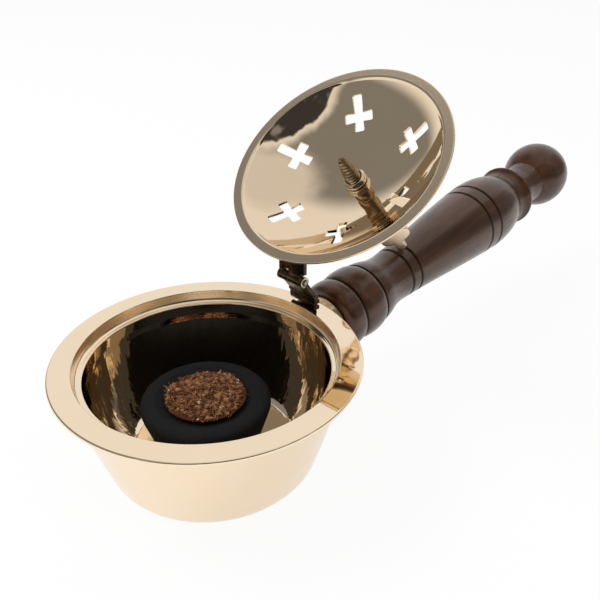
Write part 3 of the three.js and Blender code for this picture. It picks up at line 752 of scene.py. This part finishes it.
def make_lid():
    outer_sphere = dome_sphere + lid_sheet
    outer_foot = math.acos((dome_edge + step_width * outer_step_share) / outer_sphere)
    inner_foot = math.acos(dome_edge / dome_sphere)
    outer_dome = arc(0, dome_centre, outer_sphere, outer_foot, math.pi / 2, dome_steps)
    inner_dome = arc(0, dome_centre, dome_sphere, math.pi / 2, inner_foot, dome_steps)
    half_sheet = lid_sheet / 2
    outer_rim = [
        (lid_radius, half_sheet), (lid_radius, lid_sheet),
        (lid_radius - rim_width + half_sheet, lid_sheet), outer_dome[0],
    ]
    inner_rim = [
        inner_dome[-1], (dome_edge + step_width, 0), (lid_radius, 0), (lid_radius, half_sheet),
    ]
    top = eased(outer_rim, {1: rim_top_ease, 2: rim_inner_ease})
    under = eased(
        [inner_dome[-2], *inner_rim], {1: dome_foot_ease, 2: rim_step_ease, 3: rim_edge_ease},
    )
    profile = [*top, *outer_dome[1:-1], (0, dome_height + lid_sheet), (0, dome_height)]
    profile += [*inner_dome[1:-1], *under[1:]]
    lid = shown(cut(spun(profile, lid_steps), punches()), "pierced_lid", lid_place, 50 * degree)
    true_dome(lid.data, Matrix.Scale(mm, 4) @ lid_place)
    dress(lid, "lid", lid_brass, lid_back_shaded_brass)
    # Faces that look outwards take a darker, more golden copy of the lid's brass, as painted shade
    outward = lid_place.to_3x3() @ Vector((0, 0, 1))
    for face in lid.data.polygons:
        face.material_index = int(face.normal.dot(outward) > 0.05)


# Finial, stud, nut and washer

washer_top = math.sqrt(dome_sphere ** 2 - washer_radius ** 2) + dome_centre - seam
nut_top = washer_top - washer_thickness - seam


def make_finial():
    # A turned stem, a lower arm and three budded arms, melted into one casting
    stem_top = stem_foot + stem_height
    stem = spun(outline(
        (0, stem_foot), (stem_base_radius - stem_chamfer[0], stem_foot),
        (stem_base_radius, stem_foot + stem_chamfer[1]), (stem_base_radius, stem_foot + stem_disc),
        ((stem_waist, stem_foot + stem_neck[0]), (stem_waist, stem_foot + stem_neck[1]), 8),
        ((stem_base_radius, stem_foot + stem_bead[0]), (stem_waist, stem_foot + stem_bead[1]), 10),
        (finial_shank * stem_top_share, stem_top), (0, stem_top),
    ), small_steps)
    half = finial_thickness / 2
    upright = rolled(math.pi / 2, "X")
    parts = [stem]
    lower = [(-finial_shank, stem_top - arm_overlap), (finial_shank, stem_top - arm_overlap)]
    lower += [(finial_shank, finial_centre), (-finial_shank, finial_centre)]
    parts.append(put(extruded(lower, -half, half), upright))
    tip_half = bud_tip * bud_tip_share
    for length, turn in finial_arms:
        lobes = length - bud_reach
        tip = length - bud_tip
        place = slid(0, 0, finial_centre) @ rolled(-turn, "Y") @ upright
        shank = [
            (-finial_shank, -finial_shank), (finial_shank, -finial_shank), (finial_shank, lobes),
            (tip_half, tip), (-tip_half, tip), (-finial_shank, lobes),
        ]
        parts.append(put(extruded(shank, -half, half), place))
        buds = (
            (-bud_spread, lobes, bud_lobe), (bud_spread, lobes, bud_lobe), (0, tip, bud_tip),
        )
        for x, y, radius in buds:
            parts.append(put(rod(radius, -half, half, small_steps), place @ slid(x, y, 0)))
    cast = worked(joined(*parts), kind="REMESH", mode="VOXEL", voxel_size=cast_voxel)
    for _ in range(cast_smoothings):
        bmesh.ops.smooth_vert(
            cast, verts=cast.verts, factor=0.5, use_axis_x=True, use_axis_y=True, use_axis_z=True,
        )
    cast = cut(cast, rod(stud_hole, stem_foot - 1, stud_end + seam))
    finial = shown(cast, "budded_cross", finial_place @ rolled(finial_turn, "Z"), 60 * degree)
    dress(finial, "finial_cross", finial_brass)


def stud_radius_at(height):
    taper = min(max((height - stud_tip) / stud_cone, 0), 1)
    return stud_tip_radius + (stud_radius - stud_tip_radius) * taper


def thread_ridge(start, end):
    # One ridge wound up the stud, then drawn in towards the tip with the stud's taper
    bm = bmesh.new()
    rise = thread_pitch * ridge_half_share
    inner = stud_radius - thread_depth - ridge_root
    crest = stud_radius - crest_half
    corners = [
        (inner, 0, -rise), (crest, 0, -crest_half), (crest, 0, crest_half), (inner, 0, rise),
    ]
    section = bm.faces.new([bm.verts.new(corner) for corner in corners])
    turns = (end - start) / thread_pitch
    steps = int(turns * thread_steps)
    bmesh.ops.spin(
        bm, geom=[section, *section.edges, *section.verts], cent=(0, 0, 0), axis=(0, 0, 1),
        angle=turns * 2 * math.pi, dvec=(0, 0, (end - start) / steps), steps=steps,
        use_merge=False, use_duplicate=False,
    )
    bmesh.ops.remove_doubles(bm, verts=bm.verts, dist=1e-5)
    bmesh.ops.recalc_face_normals(bm, faces=bm.faces)
    put(bm, slid(0, 0, start))
    for vert in bm.verts:
        narrower = stud_radius - stud_radius_at(vert.co.z)
        vert.co.xy *= (vert.co.xy.length - narrower) / vert.co.xy.length
    return bm


def make_stud():
    core_radius = stud_radius - thread_depth
    core = spun(outline(
        (0, stud_tip), (stud_tip_flat, stud_tip),
        (stud_tip_radius - thread_depth, stud_tip + stud_tip_flat),
        (core_radius, stud_tip + stud_cone), (core_radius, stud_end), (0, stud_end),
    ), bore_steps)
    ridge = thread_ridge(stud_tip + thread_start, nut_top)
    stud = shown(joined(core, ridge), "threaded_stud", finial_place)
    dress(stud, "finial_stud", shaded_screw_brass)


def make_nut():
    # A hexagon with both faces chamfered, bored for the stud
    corner = nut_across_flats / math.sqrt(3)
    turns = [i * math.pi / 3 + math.pi / 6 for i in range(6)]
    hexagon = [(corner * math.cos(turn), corner * math.sin(turn)) for turn in turns]
    foot = nut_top - nut_thickness
    slope = (corner - nut_across_flats / 2) * nut_chamfer_share
    flat = nut_across_flats / 2 - nut_face_inset
    clear = corner + nut_chamfer_room
    chamfer = spun(outline(
        (0, foot), (flat, foot), (clear, foot + slope), (clear, nut_top - slope),
        (flat, nut_top), (0, nut_top),
    ), small_steps)
    nut = cut(extruded(hexagon, foot, nut_top), chamfer, "INTERSECT")
    nut = cut(nut, rod(stud_hole, foot - nut_thickness, nut_top + 1))
    nut = shown(nut, "stud_nut", finial_place, 25 * degree)
    dress(nut, "finial_nut", nut_brass)


def make_washer():
    low = washer_top - washer_thickness
    turned = ring(washer_radius, stud_hole, low, washer_top, washer_ease, small_steps)
    washer = shown(turned, "stud_washer", finial_place)
    dress(washer, "finial_washer", nut_brass)


# Hinge: the CAD leaves with their edges broken

def soft_copy(node, name, slot_name, *materials):
    bm = bmesh.new()
    bm.from_mesh(frame["nodes"][node].data)
    put(bm, Matrix.Scale(1 / mm, 4))
    bmesh.ops.remove_doubles(bm, verts=bm.verts, dist=1e-3)
    bmesh.ops.dissolve_limit(bm, angle_limit=1 * degree, verts=bm.verts, edges=bm.edges)
    crisp = [edge for edge in bm.edges if edge.is_manifold and edge.calc_face_angle() > 40 * degree]
    eased_faces = bmesh.ops.bevel(
        bm, geom=crisp, offset=leaf_ease, segments=2, profile=0.5, material=-1, affect="EDGES",
        clamp_overlap=True,
    )["faces"]
    # Bevelled edges and knuckle ends are lighter: they take the second material, if there is one
    for face in bm.faces:
        middle = face.calc_center_median() - Vector((hinge_x, 0, hinge_height))
        knuckle_end = abs(face.normal.y) > 0.9 and middle.xz.length < knuckle_radius
        face.material_index = int(len(materials) > 1 and (knuckle_end or face in eased_faces))
    piece = shown(bm, name, sharp=45 * degree)
    dress(piece, node, *materials)


# Handle

def swell_profile(at):
    # Radius of the long swelling grip, with its grooves
    rise = (at - neck_at) / (swell_at - neck_at)
    rise = min(max(rise, 0), 1)
    smooth = rise * rise * (3 - 2 * rise)
    eased_rise = rise + (smooth - rise) * swell_ease
    radius = neck_radius + (swell_radius - neck_radius) * eased_rise
    for groove in grooves:
        # Rounded V cut by the point of a skew chisel
        off = abs(at - groove) / groove_half
        if off < 1:
            radius -= groove_depth * (1 - off) ** groove_round
    return radius


def make_grip():
    start = socket_end + seam
    bore = outline(
        (0, rod_hole_end), (rod_hole, rod_hole_end), (rod_hole, start), (grip_face - 0.4, start),
    )
    beads = outline(
        (grip_face, start + 0.1),
        ((bead_one_radius, start + 0.6), (bead_one_radius, bead_one_peak), 12),
        ((bead_one_radius, joint_one - 0.7), (joint_radius, joint_one), 8),
        ((bead_two_radius, joint_one + 0.8), (bead_two_radius, bead_two_peak), 12),
        ((bead_two_radius, joint_two - 1), (joint_radius, joint_two), 10),
        (ledge_radius, joint_two + 0.5),
        ((ledge_edge, (joint_two + cove_at) / 2), (cove_radius, cove_at), 8),
        ((neck_radius, (cove_at + neck_at) / 2), (neck_radius, neck_at), 10),
    )
    swell_end = swell_at + 1.5
    stations = {neck_at + 0.9 * i for i in range(1, 72)}
    stations |= {groove + groove_half * k / 4 for groove in grooves for k in range(-4, 5)}
    body = [(swell_profile(at), at) for at in sorted(stations) if at < swell_end]
    collar_end = collar_at + collar_width
    end = outline(
        (swell_radius, swell_end + 0.5),
        ((swell_radius - 0.2, shoulder_at - 7), (shoulder_radius, shoulder_at), 18),
        ((shoulder_radius - 0.4, collar_at - 2), (collar_radius - 0.3, collar_at - 0.3), 12),
        ((collar_radius, collar_at), (collar_radius, collar_at + 0.3), 3),
        ((collar_radius, collar_end), (collar_radius - 0.4, collar_end + 0.1), 4),
        (fillet_radius, collar_end + 0.3), (fillet_radius, fillet_end - 0.4),
        ((fillet_radius, fillet_end), (fillet_radius - 0.4, fillet_end + 0.1), 3),
        ((ball_neck, fillet_end + 1), (ball_neck, ball_neck_at), 14),
    )
    ball_start = math.asin(ball_neck / ball_radius) - math.pi / 2
    ball = arc(0, ball_centre, ball_radius, ball_start, math.pi / 2, ball_steps)[1:-1]
    profile = [*bore, *beads, *body, *end, *ball, (0, ball_centre + ball_radius)]
    grip = shown(spun(profile, grip_steps), "turned_grip", handle_place, 42 * degree)
    dress(grip, "handle_grip", walnut)


def make_socket():
    # Turned with a tail that reaches into the bowl, then cut to the bowl's outside
    lip_start = socket_end - socket_lip
    tail = socket_base - socket_base_radius
    profile = outline(
        (0, tail), (socket_base_radius, tail), (socket_base_radius, socket_base - 1.6),
        ((socket_base_radius, socket_base), (socket_waist, socket_base + 1), 8),
        ((socket_waist, lip_start - 0.6), (socket_mouth - 0.3, lip_start - 0.05), 10),
        ((socket_mouth, lip_start), (socket_mouth, lip_start + 0.4), 4),
        (socket_mouth, socket_end - 0.4),
        ((socket_mouth, socket_end), (socket_mouth - 0.4, socket_end), 4),
        (rod_hole, socket_end), (rod_hole, rod_hole_start), (0, rod_hole_start),
    )
    envelope = spun([
        *bowl_outside(seam), (flange_radius + seam, bowl_height - flange_thickness - seam),
        (flange_radius + seam, bowl_height + seam), (0, bowl_height + seam),
    ], socket_steps)
    socket = cut(put(spun(profile, socket_steps), handle_place), envelope)
    socket = shown(socket, "flared_socket", sharp=45 * degree)
    dress(socket, "handle_socket", socket_brass)


# Charcoal and incense

def make_charcoal():
    # A pressed tablet that widens upwards, with a round top edge and a dish
    top = charcoal_height
    dish_edge = dish_radius + charcoal_lip
    dish_floor = top - dish_depth
    bm = spun(outline(
        (0, 0), (charcoal_foot - 1, 0), ((charcoal_foot, 0), (charcoal_foot + 0.3, 1.2), 5),
        (charcoal_radius - 0.4, top - charcoal_round),
        ((charcoal_radius + 0.3, top), (charcoal_radius - charcoal_round, top), 10),
        (dish_edge + 0.3, top - 0.05), ((dish_edge, top), (dish_edge - 0.4, top - 0.4), 3),
        ((dish_radius * 0.7, dish_floor), (0, dish_floor), 10),
    ), grip_steps)
    for vert in bm.verts:
        uneven = fractal(vert.co * 0.35, 1.0, 2.0, 3) - 0.2
        vert.co += vert.normal * charcoal_unevenness * uneven
    tablet = shown(bm, "charcoal_tablet_pressed", charcoal_place, 70 * degree)
    dress(tablet, "charcoal_tablet", pressed_charcoal)


def heap_height(x, y):
    reach = min(math.hypot(x, y) / heap_radius, 1)
    lump = heap_lump * noise(Vector((x * 0.35, y * 0.35, 3)))
    return charcoal_height + (heap_rise - 0.6) * (1 - reach ** 2.4) + lump * (1 - reach)


def make_heap():
    # A mound of crumbs; loose shreds, grains and chips lie on it
    rings = 14
    foot = charcoal_height - dish_depth + seam
    flat_top = charcoal_height + 0.4
    bm = spun(outline(
        (0, foot), ((dish_radius * 0.6, foot), (heap_radius - 0.6, charcoal_height - 0.2), 8),
        (heap_radius - 0.5, charcoal_height + 0.2),
        *[(heap_radius * (1 - i / rings), flat_top) for i in range(1, rings)], (0, flat_top),
    ), heap_steps)
    for vert in bm.verts:
        x, y, z = vert.co
        if z > flat_top - 0.1:
            vert.co.z = heap_height(x, y)
            aside = noise(vert.co * 2.1), noise(vert.co * 2.3 + Vector((9, 0, 0)))
            vert.co += 0.3 * Vector((*aside, 0))
            vert.co.z += 0.35 * noise(vert.co * 1.7)
    heap = shown(bm, "incense_mound", charcoal_place, 60 * degree)
    dress(heap, "incense_heap", incense_crumb)


def scattered(name, count, seed, shape, material):
    # Loose bits of one shape, evenly over the heap and lying roughly flat
    chance = random.Random(seed)
    parts = []
    for _ in range(count):
        angle = chance.uniform(0, 2 * math.pi)
        wobble = 1 + 0.05 * math.sin(3 * angle + 1) + 0.04 * math.sin(7 * angle) - 0.02
        reach = (heap_radius - 1) * wobble * chance.random() ** 0.5
        x, y = reach * math.cos(angle), reach * math.sin(angle)
        place = (
            slid(x, y, heap_height(x, y) + chance.uniform(*loose_lift))
            @ rolled(chance.uniform(0, 2 * math.pi), "Z")
            @ rolled(chance.gauss(0, loose_tilt), "Y") @ rolled(chance.gauss(0, loose_roll), "X")
        )
        parts.append(put(shape(chance), place))
    piece = shown(joined(*parts), name, charcoal_place, 50 * degree)
    dress(piece, None, material, body="censer")


def shred(chance):
    # A curled splinter, thinner at one end
    bm = bmesh.new()
    length = chance.uniform(*shred_length)
    width = chance.uniform(*shred_width)
    curl = chance.uniform(-shred_curl, shred_curl)
    bmesh.ops.create_cone(
        bm, cap_ends=True, segments=4, radius1=width, radius2=width * chance.uniform(*shred_taper),
        depth=length,
    )
    long_edges = [
        edge for edge in bm.edges
        if abs((edge.verts[0].co - edge.verts[1].co).z) > length / 2
    ]
    bmesh.ops.subdivide_edges(bm, edges=long_edges, cuts=2)
    for vert in bm.verts:
        along = vert.co.z / length
        vert.co.x += curl * length * along ** 2
        vert.co.y *= 0.5
    return put(bm, rolled(math.pi / 2, "Y"))


def chip(chance):
    # A flat uneven crumb of resin
    bm = bmesh.new()
    bmesh.ops.create_icosphere(bm, subdivisions=1, radius=chance.uniform(*chip_radius))
    for vert in bm.verts:
        vert.co.x *= chip_stretch
        vert.co.z *= chip_flatness
        vert.co += chip_unevenness * Vector([chance.uniform(-1, 1) for _ in range(3)])
    return bm


make_bowl()
make_lid()
make_finial()
make_stud()
make_nut()
make_washer()
soft_copy("hinge_lower_leaf", "lower_leaf", "fitting_brass", hinge_brass, light_edge_brass)
soft_copy("hinge_upper_leaf", "upper_leaf", "fitting_brass", hinge_brass, light_edge_brass)
soft_copy("hinge_pin", "pin", "steel", worn_steel)
make_socket()
make_grip()
make_charcoal()
make_heap()
scattered("incense_shreds", 560, 11, shred, incense_shred)
scattered("incense_grains", 420, 7, chip, incense_shred)
scattered("incense_chips", 14, 5, chip, incense_chip)

# The rod is hidden in the grip and keeps its CAD mesh
rod_materials = frame["nodes"]["handle_rod"].data.materials
rod_materials.clear()
rod_materials.append(worn_steel)


# Floor, studio surroundings, lamps and camera

floor_half = 3  # metres
floor_white = 0.96
floor_seen, floor_mirrored = 0.93, 0.7


def make_floor():
    # White paper that still takes the shadow; a camera or mirror sees it mostly lit by itself
    bm = bmesh.new()
    bmesh.ops.create_grid(bm, x_segments=1, y_segments=1, size=floor_half)
    mesh = bpy.data.meshes.new("floor")
    bm.to_mesh(mesh)
    bm.free()
    floor = bpy.data.objects.new("floor", mesh)
    studio.collection.objects.link(floor)
    white = (floor_white, floor_white, floor_white, 1)
    paper = Finish("white_floor", Roughness=1.0, Specular_IOR_Level=0.0, Base_Color=white)
    glow = paper.node("ShaderNodeEmission", {}, {"Color": (1, 1, 1, 1), "Strength": 1.0})
    path = paper.nodes.new("ShaderNodeLightPath")
    camera_ray = Socket(paper, path.outputs["Is Camera Ray"])
    mirror_ray = Socket(paper, path.outputs["Is Glossy Ray"])
    lit = camera_ray * floor_seen + mirror_ray * floor_mirrored
    matt = Socket(paper, paper.surface.outputs[0])
    mixed = paper.node("ShaderNodeMixShader", {}, [lit, matt, glow])
    paper.links.new(mixed.link, paper.nodes["Material Output"].inputs["Surface"])
    floor.data.materials.append(paper.material)


# The studio as the brass mirrors it. A patch is a round part of the sky: heading and height of
# its middle, reach and soft edge in degrees, and brightness. Later ones lie over earlier ones.
patches = (
    (300, 85, 24, 16, 0.7),
    (305, 10, 45, 10, 0.22),
    (240, 5, 58, 8, 0.88),
    (240, 5, 54, 2, 0.045),
)
open_sky = 0.87
patch_drift = 0.16  # how far the patches' edges wander
drift_scale, streak_scale = 5.0, 4.0
streak_brightness = 0.2
wall_heading, wall_edge, wall_brightness = 172, 8, 0.24
backdrop_low, backdrop_high, backdrop_brightness = 4, 12, 0.92


def make_world():
    world = bpy.data.worlds.new("studio")
    world.use_nodes = True
    studio.world = world
    sky = Tree(world.node_tree)

    def vector_maths(operation, values, output="Vector"):
        return sky.node("ShaderNodeVectorMath", {"operation": operation}, values, output)

    def sky_noise(vector, scale, output):
        values = {"Vector": vector, "Scale": scale, "Detail": 2.0}
        return sky.node("ShaderNodeTexNoise", {}, values, output)

    direction = sky.node("ShaderNodeTexCoord", {}, [], output="Generated")
    drift = vector_maths("SUBTRACT", [sky_noise(direction, drift_scale, "Color"), (0.5, 0.5, 0.5)])
    drift = vector_maths("SCALE", {"Vector": drift, "Scale": patch_drift})
    bent = vector_maths("NORMALIZE", [vector_maths("ADD", [direction, drift])])

    def away_from(heading, rise, seen=direction):
        # Degrees between the ray and one direction of the sky
        heading, rise = heading * degree, rise * degree
        flat = math.cos(rise)
        middle = (flat * math.cos(heading), flat * math.sin(heading), math.sin(rise))
        turned = vector_maths("DOT_PRODUCT", [seen, middle], "Value")
        return sky.maths("ARCCOSINE", turned) * (1 / degree)

    # The grey wall on the left of the censer, the backdrop near the floor, then the patches.
    # Each layer is full at its first angle and gone at its second.
    layers = [
        (away_from(wall_heading, 0), 90 - wall_edge, 90 + wall_edge, wall_brightness),
        (away_from(0, 90), 90 - backdrop_low, 90 - backdrop_high, backdrop_brightness),
    ]
    for heading, rise, reach, soft, brightness in patches:
        away = away_from(heading, rise, bent)
        layers.append((away, reach - soft / 2, reach + soft / 2, brightness))
    level = open_sky
    for away, full, none, brightness in layers:
        share = sky.spread(away, full, none, 1.0, 0.0, smooth=True)
        level = level * (1 - share) + share * brightness
    # Brown streaks in the last patch, which is the dark one
    streaks = sky_noise(bent, streak_scale, "Fac")
    level = level + share * sky.spread(streaks, 0.5, 0.7, 0.0, streak_brightness, smooth=True)
    path = sky.nodes.new("ShaderNodeLightPath")
    camera_ray = Socket(sky, path.outputs["Is Camera Ray"])
    background = sky.nodes["Background"]
    background.inputs["Color"].default_value = (1, 1, 1, 1)
    sky.plug(level * (1 - camera_ray) + camera_ray, background.inputs["Strength"])


def soft_light(name, place, aim, size, power):
    lamp = bpy.data.lights.new(name, "AREA")
    lamp.shape = "RECTANGLE"
    lamp.size, lamp.size_y = size
    lamp.energy = power
    holder = bpy.data.objects.new(name, lamp)
    studio.collection.objects.link(holder)
    holder.location = place
    holder.rotation_euler = (Vector(aim) - Vector(place)).to_track_quat("-Z", "Y").to_euler()
    holder.visible_glossy = False


make_floor()
make_world()
lamp_target = (0.05, 0, 0.05)
soft_light("key_light", (-0.5, 0.6, 0.9), lamp_target, (0.7, 0.5), 9)
soft_light("fill_light", (0.2, -0.9, 0.6), lamp_target, (0.6, 0.4), 3)

lens = bpy.data.cameras.new("camera")
lens.lens = focal_length
lens.sensor_width = 36
lens.clip_start = 0.01
camera = bpy.data.objects.new("camera", lens)
studio.collection.objects.link(camera)
camera.location = (camera_offset + Vector((0, 0, bowl_height))) * mm
camera.rotation_euler = (math.pi / 2 - camera_fall, 0, camera_heading)
studio.camera = camera
studio.view_settings.view_transform = "Standard"
